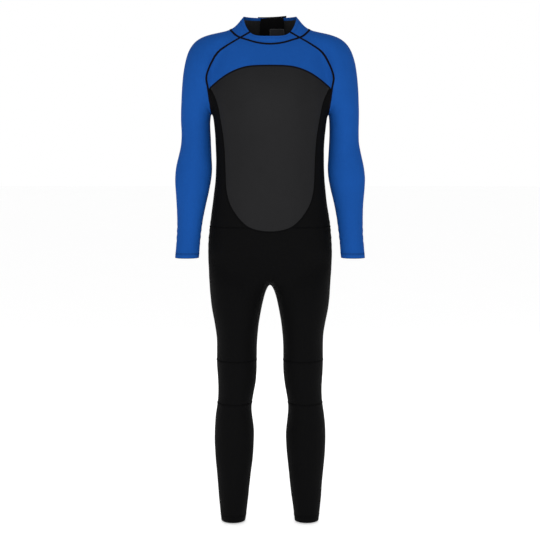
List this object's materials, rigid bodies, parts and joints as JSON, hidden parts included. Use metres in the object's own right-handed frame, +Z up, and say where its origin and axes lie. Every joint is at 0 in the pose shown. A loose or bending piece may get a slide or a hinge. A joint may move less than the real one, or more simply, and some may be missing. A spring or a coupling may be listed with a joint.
{
  "type": "full wetsuit",
  "caption": "Full-length back-zip wetsuit with blue raglan sleeves, yoke and stand collar, charcoal smooth-skin chest panel, black body and legs, and jointed limbs",
  "frame": {"origin": "middle of the neck opening, level with the neck seam at the sides, where a hanger or the wearer holds the suit", "axes": "+Z up, the front faces -Y, the wearer's left is +X"},
  "size_m": [0.556, 0.2221, 1.5022],
  "materials": {
    "blue_jersey": "matt nylon jersey laminated on neoprene",
    "smooth_skin": "smooth-skin neoprene, satin",
    "black_jersey": "matt nylon jersey laminated on neoprene",
    "seam_tape": "flatlock stitching, black thread",
    "hook_and_loop": "hook and loop, rough",
    "label_cloth": "woven, blank",
    "zip_tape": "woven tape",
    "zip_plastic": "moulded plastic",
    "zip_metal": "black painted metal"
  },
  "bodies": {
    "suit": {"collar_front": "blue_jersey", "front_yoke": "blue_jersey", "collar_left": "blue_jersey", "collar_right": "blue_jersey", "back_yoke_left": "blue_jersey", "back_yoke_right": "blue_jersey", "sleeve_cap_left": "blue_jersey", "sleeve_cap_right": "blue_jersey", "shoulder_band_left": "blue_jersey", "shoulder_band_right": "blue_jersey", "chest_panel": "smooth_skin", "pelvis_front": "black_jersey", "seat": "black_jersey", "zip_backing_flap": "black_jersey", "side_panel_left": "black_jersey", "side_panel_right": "black_jersey", "back_panel_left": "black_jersey", "back_panel_right": "black_jersey", "hip_band_left": "black_jersey", "hip_band_right": "black_jersey", "neck_seam": "seam_tape", "chest_arc_seam": "seam_tape", "chest_side_seam": "seam_tape", "collar_seam_left": "seam_tape", "collar_seam_right": "seam_tape", "raglan_front_seam_left": "seam_tape", "raglan_front_seam_right": "seam_tape", "raglan_back_seam_left": "seam_tape", "raglan_back_seam_right": "seam_tape", "loop_patch": "hook_and_loop", "neck_label": "label_cloth", "zip_tape_left": "zip_tape", "zip_tape_right": "zip_tape", "zip_bottom_stop": "zip_plastic", "zip_teeth_left": "zip_plastic", "zip_teeth_right": "zip_plastic", "zip_top_stop_left": "zip_plastic", "zip_top_stop_right": "zip_plastic"},
    "zip_slider": {"slider": "zip_metal"},
    "zip_puller": {"puller": "zip_metal"},
    "neck_tab": {"neck_tab": "hook_and_loop"},
    "upper_arm_left": {"upper_sleeve_left": "blue_jersey", "elbow_band_left": "blue_jersey"},
    "forearm_left": {"lower_sleeve_left": "blue_jersey", "wrist_hem_left": "blue_jersey"},
    "thigh_left": {"thigh_left": "black_jersey", "knee_panel_left": "black_jersey"},
    "shin_left": {"shin_left": "black_jersey", "ankle_hem_left": "black_jersey"},
    "upper_arm_right": {"upper_sleeve_right": "blue_jersey", "elbow_band_right": "blue_jersey"},
    "forearm_right": {"lower_sleeve_right": "blue_jersey", "wrist_hem_right": "blue_jersey"},
    "thigh_right": {"thigh_right": "black_jersey", "knee_panel_right": "black_jersey"},
    "shin_right": {"shin_right": "black_jersey", "ankle_hem_right": "black_jersey"}
  },
  "joints": [
    {"name": "shoulder_left", "type": "hinge", "parent": "suit", "child": "upper_arm_left", "pos_m": [0.245, 0.004, -0.175], "axis": [0, -1, 0], "range_deg": [0, 60], "stiffness_Nm_per_rad": 3, "deforming": ["shoulder_band_left"]},
    {"name": "elbow_left", "type": "hinge", "parent": "upper_arm_left", "child": "forearm_left", "pos_m": [0.224, -0.02, -0.4], "axis": [-1, 0, 0], "range_deg": [0, 110], "stiffness_Nm_per_rad": 1, "deforming": ["elbow_band_left"]},
    {"name": "hip_left", "type": "hinge", "parent": "suit", "child": "thigh_left", "pos_m": [0.095, -0.05, -0.762], "axis": [-1, 0, 0], "range_deg": [-15, 90], "stiffness_Nm_per_rad": 6, "deforming": ["hip_band_left"]},
    {"name": "knee_left", "type": "hinge", "parent": "thigh_left", "child": "shin_left", "pos_m": [0.1, 0.028, -1.035], "axis": [1, 0, 0], "range_deg": [0, 120], "stiffness_Nm_per_rad": 3, "deforming": ["knee_panel_left"]},
    {"name": "shoulder_right", "type": "hinge", "parent": "suit", "child": "upper_arm_right", "pos_m": [-0.245, 0.004, -0.175], "axis": [0, 1, 0], "range_deg": [0, 60], "stiffness_Nm_per_rad": 3, "deforming": ["shoulder_band_right"]},
    {"name": "elbow_right", "type": "hinge", "parent": "upper_arm_right", "child": "forearm_right", "pos_m": [-0.224, -0.02, -0.4], "axis": [-1, 0, 0], "range_deg": [0, 110], "stiffness_Nm_per_rad": 1, "deforming": ["elbow_band_right"]},
    {"name": "hip_right", "type": "hinge", "parent": "suit", "child": "thigh_right", "pos_m": [-0.095, -0.05, -0.762], "axis": [-1, 0, 0], "range_deg": [-15, 90], "stiffness_Nm_per_rad": 6, "deforming": ["hip_band_right"]},
    {"name": "knee_right", "type": "hinge", "parent": "thigh_right", "child": "shin_right", "pos_m": [-0.1, 0.028, -1.035], "axis": [1, 0, 0], "range_deg": [0, 120], "stiffness_Nm_per_rad": 3, "deforming": ["knee_panel_right"]},
    {"name": "zip_travel", "type": "slide", "parent": "suit", "child": "zip_slider", "axis": [0, -0.0178, -0.9998], "range_m": [0, 0.462], "deforming": ["zip_teeth_left", "zip_teeth_right"]},
    {"name": "puller_swing", "type": "hinge", "parent": "zip_slider", "child": "zip_puller", "pos_m": [0, 0.1025, -0.07852], "axis": [1, 0, 0], "range_deg": [0, 160]},
    {"name": "neck_tab_peel", "type": "hinge", "parent": "suit", "child": "neck_tab", "pos_m": [0.04729, 0.06638, 0.02782], "axis": [0, 0, -1], "range_deg": [0, 80]}
  ]
}
